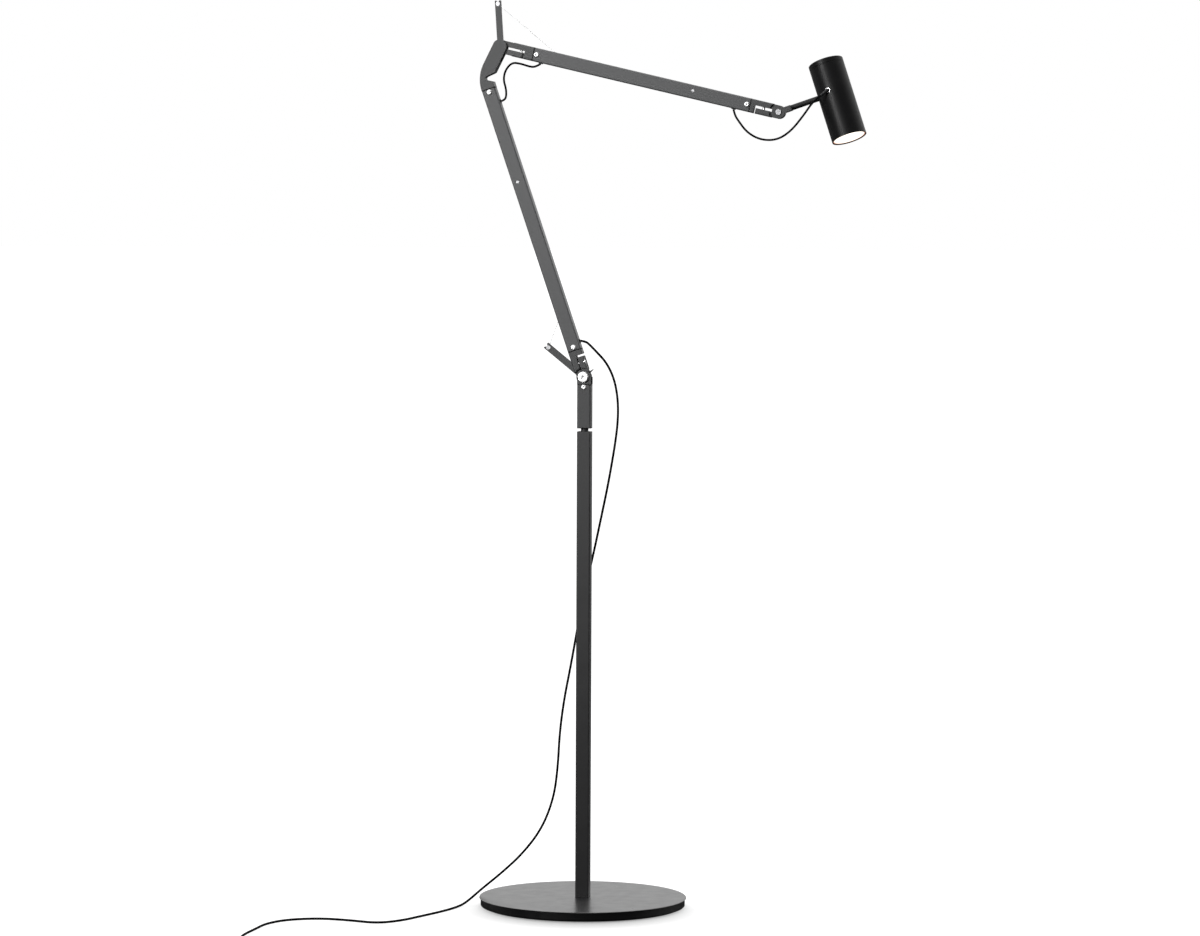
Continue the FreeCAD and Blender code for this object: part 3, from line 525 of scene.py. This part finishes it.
def finished(bm, name, body, place, smooth=35):
    """Turns a bmesh into an object that rides on a body, smooth except across sharp edges."""
    bmesh.ops.recalc_face_normals(bm, faces=bm.faces)
    for face in bm.faces:
        face.smooth = True
    for edge in bm.edges:
        if len(edge.link_faces) == 2 and edge.calc_face_angle(0) > math.radians(smooth):
            edge.smooth = False
    mesh = bpy.data.meshes.new(name)
    bm.to_mesh(mesh)
    bm.free()
    mesh.transform(place)
    return add_object(name, mesh, body)


def lathe(bm, profile, count=72):
    """Turns a profile of (radius, height) pairs about Z. A radius of 0 closes an end."""
    rings = []
    for radius, height in profile:
        if radius > 0:
            rings.append(ring(bm, circle(radius, height, count)))
        else:
            rings.append([bm.verts.new((0, 0, height))])
    for a, b in zip(rings, rings[1:]):
        for i in range(count):
            j = (i + 1) % count
            if len(a) == 1:
                bm.faces.new((a[0], b[j], b[i]))
            elif len(b) == 1:
                bm.faces.new((a[i], a[j], b[0]))
            else:
                bm.faces.new((a[i], a[j], b[j], b[i]))


def merge(bm, part, place):
    """Adds one bmesh to another at a place, and frees it."""
    part.transform(place)
    joined = bpy.data.meshes.new("joined")
    part.to_mesh(joined)
    part.free()
    bm.from_mesh(joined)
    bpy.data.meshes.remove(joined)


def button_screw(bm, place, radius, height, shank, shank_length, socket, depth):
    """A button-head screw with a real hexagon socket, head outwards along its own Z."""
    part = bmesh.new()
    count = 48
    rim = 0.25 * height
    dome = []
    for i in range(1, 7):
        a = math.radians(90 * i / 6)
        dome.append((
            radius - (radius - socket * 1.35) * (1 - math.cos(a)), rim + (height - rim) * math.sin(a)))
    rings = [ring(part, circle(shank, -shank_length, count)), ring(part, circle(shank, 0, count)),
             ring(part, circle(radius * 0.97, 0, count)), ring(part, circle(radius, 0.06 * height, count)),
             ring(part, circle(radius, rim, count))]
    rings += [ring(part, circle(r, z, count)) for r, z in dome]
    hexed = [circle(0, height, count, 6, socket * 1.12), circle(0, height - 0.12 * MM, count, 6, socket),
             circle(0, height - depth, count, 6, socket)]
    rings += [ring(part, points) for points in hexed]
    rings.append(ring(part, circle(socket * 0.35, height - depth - 0.25 * MM, count)))
    skin(part, rings, True, True)
    merge(bm, part, place)


def islands(node):
    """The separate solids of a CAD node, each as its mesh points."""
    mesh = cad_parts[node].data
    bm = bmesh.new()
    bm.from_mesh(mesh)
    bmesh.ops.remove_doubles(bm, verts=bm.verts, dist=1e-6)
    left, found = set(bm.verts), []
    while left:
        stack, part = [left.pop()], []
        while stack:
            vert = stack.pop()
            part.append(vert.co.copy())
            for edge in vert.link_edges:
                other = edge.other_vert(vert)
                if other in left:
                    left.remove(other)
                    stack.append(other)
        found.append(part)
    bm.free()
    return found


def middle(points):
    """The middle of the box round some points."""
    low = Vector(map(min, zip(*points)))
    high = Vector(map(max, zip(*points)))
    return (low + high) / 2


# ------------------------------------------------------------------ pieces
class Piece(bpy.types.Operator):
    """Base of the lamp's building steps."""
    bl_options = {"REGISTER", "UNDO"}

    def execute(self, context):
        self.build(settings())
        return {"FINISHED"}


class LAMP_OT_camera(Piece):
    """Place the camera in front of the lamp"""
    bl_idname = "lamp.camera"
    bl_label = "Camera"

    def build(self, s):
        g = s.stage
        data = bpy.data.cameras.new("camera")
        data.sensor_width = 36
        data.lens = g.lens
        data.clip_start, data.clip_end = 0.1, 2 * DOME_RADIUS
        camera = add_object("camera", data)
        turn = g.azimuth - g.yaw
        forward = Vector((
            -math.sin(turn) * math.cos(g.pitch), math.cos(turn) * math.cos(g.pitch), -math.sin(g.pitch)))
        level = forward.cross(Vector((0, 0, 1))).normalized()
        upright = level.cross(forward)
        right = level * math.cos(g.roll) + upright * math.sin(g.roll)
        up = upright * math.cos(g.roll) - level * math.sin(g.roll)
        place = Matrix((right, up, -forward)).transposed().to_4x4()
        place.translation = (g.distance * math.sin(g.azimuth), -g.distance * math.cos(g.azimuth), g.height)
        camera.matrix_world = place
        bpy.context.scene.camera = camera


def spline_curve(name, points, radius):
    """A round cable along one NURBS spline."""
    data = bpy.data.curves.new(name, "CURVE")
    data.dimensions = "3D"
    spline = data.splines.new("NURBS")
    spline.points.add(len(points) - 1)
    for target, point in zip(spline.points, points):
        target.co = (*point, 1)
    spline.order_u = 3
    spline.use_endpoint_u = True
    spline.resolution_u = 12
    data.bevel_depth = radius
    data.bevel_resolution = 6
    data.use_fill_caps = True
    return data


def line_of(points):
    """The points that the spline with these control points runs through."""
    data = spline_curve("line", points, 0)
    data.use_fill_caps = False
    holder = bpy.data.objects.new("line", data)
    mesh = bpy.data.meshes.new_from_object(holder)
    found = [v.co.copy() for v in mesh.vertices]
    bpy.data.objects.remove(holder)
    bpy.data.meshes.remove(mesh)
    return found


def tube(name, line, radius, count=20, taper=None):
    """A mesh tube round a line of points, its section carried along without twisting."""
    bm = bmesh.new()
    side, rings = None, []
    for i, point in enumerate(line):
        ahead = (line[min(i + 1, len(line) - 1)] - line[max(i - 1, 0)]).normalized()
        if side is None:
            side = ahead.orthogonal().normalized()
        side = (side - ahead * side.dot(ahead)).normalized()
        other = ahead.cross(side)
        r = taper(i / (len(line) - 1)) if taper else radius
        rings.append(ring(bm, [
            point + (side * math.cos(a) + other * math.sin(a)) * r
            for a in (2 * math.pi * k / count for k in range(count))]))
    skin(bm, rings, True, True)
    return finished(bm, name, None, Matrix.Identity(4), 60)


def cable_piece(name, points, diameter, nodes, slot):
    """A free cable between two bodies, bent smoothly from one to the other."""
    line = line_of(points)
    piece = tube(name, line, diameter / 2)
    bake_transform(piece)
    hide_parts(*nodes)
    dress(piece, slot)
    return piece


def coil_points():
    """A flat spiral of turns in and another out on top of it, twelve points a turn."""
    points, pitch, outer = [], 0.00345, 0.0255
    for layer, turns, height in ((0, 4, 0.00175), (1, 4, 0.0052)):
        for n in range(turns):
            first = outer - pitch * (n if layer == 0 else turns - 1 - n)
            onward = -pitch if layer == 0 else pitch
            for k in range(12):
                if layer == 1 and n == turns - 1 and k > 5:
                    return points
                radius = first + onward * max(0, k - 8) / 4
                rise = 0
                if layer == 0 and n == turns - 1 and k > 8:
                    rise = (0, 0.0009, 0.0022)[k - 9]
                if layer == 1 and n == 0 and k < 2:
                    radius -= pitch * (2 - k) / 3
                angle = math.radians(180 + 30 * k)
                points.append(COIL_CENTRE + Vector((
                    radius * 1.035 * math.cos(angle), radius * 1.035 * math.sin(angle), height + rise)))
    return points


class LAMP_OT_finishes(Piece):
    """Make every finish and put it on the carried-over parts"""
    bl_idname = "lamp.finishes"
    bl_label = "Finishes"

    def build(self, s):
        all_finishes()
        for slot, nodes in SLOT_NODES.items():
            for node in nodes:
                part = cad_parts[node]
                part.data.materials.clear()
                part.data.materials.append(bpy.data.materials[FINISH_NAMES[slot]])
        for node, finish in NODE_FINISHES.items():
            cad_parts[node].data.materials[0] = bpy.data.materials[finish]
        covered = {node for nodes in SLOT_NODES.values() for node in nodes}
        missing = set(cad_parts) - covered
        if missing:
            raise RuntimeError(f"no finish for {sorted(missing)}")


class LAMP_OT_cables(Piece):
    """Make the loop at the elbow, the loop to the head and the mains cable"""
    bl_idname = "lamp.cables"
    bl_label = "Cables"

    def build(self, s):
        loop, mains = s.cables.loop_diameter, s.cables.mains_diameter
        make_plug(PLUG_ENTRY)
        cable_piece(
            "elbow_cable", [LOWER_PORT, *ELBOW_ROUTE, UPPER_PORT], loop,
            ["elbow_cord"], "cable_black")
        cable_piece(
            "head_cable", [HEAD_PORT, *HEAD_ROUTE, HEAD_JOIN], loop,
            ["head_cord"], "cable_black")
        cable_piece(
            "head_cable_end", [HEAD_JOIN, *HEAD_END_ROUTE, RELIEF_TIP], loop,
            ["head_cord_end"], "cable_black")
        cable_piece(
            "mains_cable_fall", [MAINS_PORT, *FALL_ROUTE, FALL_JOIN], mains,
            ["main_cord_fall"], "cable_black")
        route = [FALL_JOIN, *MAINS_ROUTE, *coil_points(), *TAIL_ROUTE, PLUG_ENTRY]
        cable_piece(
            "mains_cable", route, mains,
            ["main_cord", "cord_coil"], "cable_black")


def make_plug(entry):
    """A slim moulded two-pin plug lying flat, with a ribbed grip and half-sleeved pins."""
    bm = bmesh.new()
    # Sections from the relief's tip to the pin face: distance, half width, half height, corner.
    sections = [
        (0, 2.2, 2.2, 2.2), (0.4, 2.5, 2.5, 2.5), (14.0, 4.2, 4.2, 4.2), (15.6, 5.4, 4.6, 4.0),
        (17.4, 8.2, 5.2, 4.2), (20.5, 10.6, 5.9, 4.2), (25, 11.8, 6.5, 4.0), (26.2, 11.9, 6.6, 4.0),
        (26.6, 11.4, 6.1, 3.8), (27.6, 11.4, 6.1, 3.8), (28.0, 12.1, 6.7, 4.0), (30.2, 12.2, 6.75, 4.0),
        (30.6, 11.7, 6.2, 3.8), (31.6, 11.7, 6.2, 3.8), (32.0, 12.4, 6.8, 4.0), (34.2, 12.5, 6.85, 4.0),
        (34.6, 12.0, 6.3, 3.8), (35.6, 12.0, 6.3, 3.8), (36.0, 12.7, 6.9, 4.0), (42, 12.9, 6.95, 3.8),
        (50.6, 12.95, 6.98, 3.6), (51.6, 12.6, 6.6, 3.3), (52, 11.9, 5.9, 2.8)]
    rings = []
    for along, wide, high, corner in sections:
        points = []
        for k in range(48):
            a = 2 * math.pi * k / 48
            x = math.copysign(wide - corner, math.cos(a)) + corner * math.cos(a)
            z = math.copysign(high - corner, math.sin(a)) + corner * math.sin(a)
            points.append(Vector((x * MM, -along * MM, z * MM)))
        rings.append(ring(bm, points))
    skin(bm, rings, True, True)
    body = finished(bm, "mains_plug_body", "base", Matrix.Translation(entry), 50)
    dress(body, "plug_black")
    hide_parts("mains_plug")
    for side, name in ((-1, "left"), (1, "right")):
        for part, slot, profile in (
                ("sleeve", "plug_black", [(0, 0), (2.0, 0), (2.0, 9.6), (1.9, 10), (0, 10)]),
                ("pin", "bright_steel", [(0, 9), (1.95, 9), (1.95, 17.6), (1.6, 18.6), (0.9, 19), (0, 19)])):
            bm = bmesh.new()
            lathe(bm, [(r * MM, z * MM) for r, z in profile], 32)
            foot = entry + Vector((side * 9.5 * MM, -52 * MM, 0))
            made = finished(bm, f"plug_{part}_{name}", "base", axes(foot, (0, -1, 0)))
            dress(made, slot)


class LAMP_OT_wires(Piece):
    """Make the two counterbalance wires and the eyes that hold them on the levers' pins"""
    bl_idname = "lamp.wires"
    bl_label = "Wires"

    def build(self, s):
        for name, post, arm, pin, entry, end in (
                ("lower", "post", "lower_arm", (-0.0530, 0, 0.81006), (-0.03838, 0, 0.85016),
                 (-0.03871, 0, 0.87296)),
                ("upper", "lower_arm", "upper_arm", (-0.12824, 0, 1.30306), (-0.04348, 0, 1.23254),
                 (-0.02394, 0, 1.22080))):
            pin, entry, end = Vector(pin), Vector(entry), Vector(end)
            run = (entry - pin).normalized()
            start = pin + run * (EYE_RADIUS - 0.02) * MM
            bm = bmesh.new()
            rings = []
            for place, ahead in ((start, run), (entry, (run + (end - entry).normalized()) / 2),
                                 (end, end - entry)):
                turn = axes(place, ahead, (0, 1, 0))
                rings.append(ring(bm, [turn @ p for p in circle(WIRE_RADIUS * MM, 0, 16)]))
            skin(bm, rings, True, True)
            wire = finished(bm, f"{name}_balance_wire", None, Matrix.Identity(4), 60)
            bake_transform(wire)
            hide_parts(f"{name}_wire")
            dress(wire, "wire_steel")
            eye = bmesh.new()
            turns = []
            for k in range(36):
                a = 2 * math.pi * k / 36
                out = Vector((math.cos(a), 0, math.sin(a)))
                turns.append(ring(eye, [
                    pin + out * (EYE_RADIUS + EYE_WIRE * math.cos(b)) * MM
                    + Vector((0, EYE_WIRE * MM * math.sin(b), 0))
                    for b in (2 * math.pi * j / 12 for j in range(12))]))
            skin(eye, turns + turns[:1])
            dress(finished(eye, f"{name}_wire_eye", post, Matrix.Identity(4)), "wire_steel")


class LAMP_OT_screws(Piece):
    """Make the button-head screws with their hexagon sockets"""
    bl_idname = "lamp.screws"
    bl_label = "Screws"

    def build(self, s):
        for node, body in (("post_screws", "post"), ("lower_screws", "lower_arm"),
                           ("upper_screws", "upper_arm")):
            bm = bmesh.new()
            for points in islands(node):
                centre = middle(points)
                side = -1 if centre.y < 0 else 1
                place = axes((centre.x, side * HALF_TUBE, centre.z), (0, side, 0))
                button_screw(bm, place, radius=3.9 * MM, height=1.6 * MM, shank=1.95 * MM,
                             shank_length=5.4 * MM, socket=1.35 * MM, depth=1.0 * MM)
            made = finished(bm, f"{body}_button_screws", body, Matrix.Identity(4), 40)
            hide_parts(node)
            dress(made, "bright_steel")


class LAMP_OT_knob(Piece):
    """Turn the shoulder's polished knob and its bolt"""
    bl_idname = "lamp.knob"
    bl_label = "Shoulder knob"

    def build(self, s):
        bolt = [v.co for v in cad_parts["shoulder_bolt"].data.vertices]
        centre, face = middle(bolt), min(point.y for point in bolt)
        knob = bmesh.new()
        shank, rim, socket, count = 3.95 * MM, 7.8 * MM, 2.0 * MM, 96
        depth = -HALF_TUBE - face
        rings = [ring(knob, circle(shank, -2 * HALF_TUBE, count)), ring(knob, circle(shank, 0, count)),
                 ring(knob, circle(rim - 0.3 * MM, 0, count)), ring(knob, circle(rim, 0.3 * MM, count)),
                 ring(knob, circle(rim, depth - 1.0 * MM, count)),
                 ring(knob, circle(rim - 0.12 * MM, depth - 0.6 * MM, count)),
                 ring(knob, circle(rim - 0.45 * MM, depth - 0.22 * MM, count)),
                 ring(knob, circle(rim - 0.9 * MM, depth - 0.04 * MM, count)),
                 ring(knob, circle(rim - 1.4 * MM, depth, count)),
                 ring(knob, circle(socket * 1.6, depth, count)),
                 ring(knob, circle(socket * 1.45, depth - 0.2 * MM, count)),
                 ring(knob, circle(0, depth - 0.24 * MM, count, 6, socket)),
                 ring(knob, circle(0, depth - 2.4 * MM, count, 6, socket)),
                 ring(knob, circle(socket * 0.4, depth - 2.9 * MM, count))]
        skin(knob, rings, True, True)
        place = axes((centre.x, -HALF_TUBE, centre.z), (0, -1, 0), (0, 0, 1))
        made = finished(knob, "shoulder_knob", "post", place, 30)
        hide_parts("shoulder_bolt")
        dress(made, "bright_steel")


class LAMP_OT_relief(Piece):
    """Mould the ribbed rubber relief that leads the cable into the head"""
    bl_idname = "lamp.relief"
    bl_label = "Cable relief"

    def build(self, s):
        foot = RELIEF_TIP - RELIEF_OUT * RELIEF_LENGTH * MM
        rings = [(0.0, RELIEF_ROOT)]
        for n in range(6):
            start = 1.6 + 1.8 * n
            wide = 2.28 - 0.1 * n
            rings += [(start, wide), (start + 0.15, wide - 0.22), (start + 0.75, wide - 0.24),
                      (start + 0.9, wide - 0.04)]
        rings += [(12.9, 1.66), (13.7, 1.6), (RELIEF_LENGTH, 1.52)]
        collar = [(0, -COLLAR_LENGTH), (RELIEF_ROOT, -COLLAR_LENGTH), (RELIEF_ROOT, 0), (0, 0)]
        # Rounding brings the knuckle's poles to exactly 0, where the turning closes them.
        knuckle = [(round(RELIEF_ROOT * math.sin(a), 6), -RELIEF_ROOT * math.cos(a))
                   for a in (math.radians(15 * k) for k in range(13))]
        taper = [(0, -0.5)] + [(r, z) for z, r in rings] + [(0, RELIEF_LENGTH)]
        bm = bmesh.new()
        for place, profile in ((axes(foot, foot - HEAD_ORIGIN), collar), (axes(foot, RELIEF_OUT), knuckle),
                               (axes(foot, RELIEF_OUT), taper)):
            part = bmesh.new()
            lathe(part, [(r * MM, z * MM) for r, z in profile], 48)
            bmesh.ops.recalc_face_normals(part, faces=part.faces)
            merge(bm, part, place)
        made = finished(bm, "head_cable_relief", "head", Matrix.Identity(4), 50)
        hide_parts("cord_relief")
        dress(made, "black_rubber")


class LAMP_OT_stage(Piece):
    """Lay the floor and set the soft studio light"""
    bl_idname = "lamp.stage"
    bl_label = "Stage"

    def build(self, s):
        g = s.stage
        bm = bmesh.new()
        bmesh.ops.create_circle(bm, cap_ends=True, segments=64, radius=FLOOR_RADIUS)
        floor = finished(bm, "studio_floor", None, Matrix.Translation((0, 0, -0.0002)))
        f = Finish("studio floor", roughness=0.9, specular_ior_level=0.0, emission_strength=g.floor_glow)
        f.feed("Base Color", f.tint(tuple(g.floor), shade(g.floor, 0.995), f.noise(3, 2)))
        # The shade round the base is centred a little towards the camera.
        away = f.node("ShaderNodeVectorMath", {"operation": "DISTANCE"}, {
            0: f.place(), 1: (0.0067, -0.0445, 0)}, "Value")
        open_floor = f.node("ShaderNodeMapRange", {"interpolation_type": "SMOOTHSTEP"}, {
            "Value": away, "From Min": 0.08, "From Max": 0.22})
        f.feed("Emission Color", f.tint((0.27, 0.27, 0.27), (1, 1, 1), open_floor))
        floor.data.materials.append(f.material)
        # The floor keeps its shadows but throws no light back up at the black lamp.
        floor.visible_diffuse = False
        floor.visible_glossy = False
        world = bpy.data.worlds.new("studio")
        bpy.context.scene.world = world
        world.use_nodes = True
        background = world.node_tree.nodes["Background"]
        background.inputs["Color"].default_value = (1, 1, 1, 1)
        world.cycles_visibility.diffuse = False
        world.cycles_visibility.glossy = False
        # A dome of soft light that is bright behind and above and dim in front.
        bm = bmesh.new()
        bmesh.ops.create_uvsphere(bm, u_segments=48, v_segments=24, radius=DOME_RADIUS)
        dome = finished(bm, "studio_dome", None, Matrix.Identity(4))
        dome.visible_camera = False
        dome.visible_shadow = False
        f = Finish("studio dome", base_color=(0, 0, 0), specular_ior_level=0.0, roughness=1.0)
        height = f.node("ShaderNodeSeparateXYZ", {}, {0: f.place()}, "Z")
        depth = f.node("ShaderNodeSeparateXYZ", {}, {0: f.place()}, "Y")
        smooth = {"interpolation_type": "SMOOTHSTEP"}
        horizon = f.node("ShaderNodeMapRange", smooth, {"Value": height, "From Min": -20, "From Max": 15})
        behind = f.node("ShaderNodeMapRange", smooth, {
            "Value": depth, "From Min": -75, "From Max": 125, "To Min": 0.06, "To Max": 1.85})
        overhead = f.node("ShaderNodeMapRange", smooth, {"Value": height, "From Min": 130, "From Max": 195})
        f.feed("Emission Color", f.tint(
            (0.01, 0.01, 0.01), (1, 1, 1), f.node("ShaderNodeMath", {"operation": "MAXIMUM"}, {
                0: horizon * behind, 1: overhead})))
        f.feed("Emission Strength", g.daylight)
        dome.data.materials.append(f.material)
        # Each light: its place, size, power in watts, what it faces, and its spread in degrees.
        for name, place, size, power, target, spread in (
                ("key", (-2.6, -3.6, 2.0), (1.7, 1.9), 7.5, (-0.34, 0, 1.14), 23),
                ("fill", (-0.7, -5.2, 2.2), (1.6, 1.2), 1.1, (-0.2, 0, 1.15), 18),
                ("rim", (3.0, 1.6, 1.6), (0.8, 2.4), 7, (0, 0, 0.6), 120),
                ("top", (0.2, 0.2, 3.6), (2.4, 2.4), 38, (0, 0, 0), 150)):
            data = bpy.data.lights.new(name, "AREA")
            data.shape = "RECTANGLE"
            data.size, data.size_y = size
            data.energy = power
            data.spread = math.radians(spread)
            lamp = add_object(name, data)
            lamp.matrix_world = axes(place, Vector(place) - Vector(target))
        bpy.context.scene.view_settings.view_transform = "Standard"


class LAMP_PT_panel(bpy.types.Panel):
    """The lamp's sizes, colours and building steps"""
    bl_label = "Floor Lamp"
    bl_idname = "LAMP_PT_panel"
    bl_space_type = "VIEW_3D"
    bl_region_type = "UI"
    bl_category = "Floor Lamp"

    def draw(self, context):
        for title, group in (("Finishes", settings().finishes), ("Cables", settings().cables),
                             ("Stage", settings().stage)):
            box = self.layout.box()
            box.label(text=title)
            for name in group.bl_rna.properties.keys():
                if name not in ("rna_type", "name"):
                    box.prop(group, name)
        for step in STEPS:
            self.layout.operator(step.bl_idname)


STEPS = (LAMP_OT_camera, LAMP_OT_finishes, LAMP_OT_cables, LAMP_OT_wires, LAMP_OT_screws, LAMP_OT_knob,
         LAMP_OT_relief, LAMP_OT_stage)
CLASSES = (LampFinishes, LampCables, LampStage, FloorLamp, *STEPS, LAMP_PT_panel)


def register():
    for made in CLASSES:
        bpy.utils.register_class(made)
    bpy.types.Scene.floor_lamp = PointerProperty(type=FloorLamp)


def unregister():
    del bpy.types.Scene.floor_lamp
    for made in reversed(CLASSES):
        bpy.utils.unregister_class(made)


def main():
    register()
    for step in STEPS:
        group, name = step.bl_idname.split(".")
        getattr(getattr(bpy.ops, group), name)()


if __name__ == "__main__":
    main()
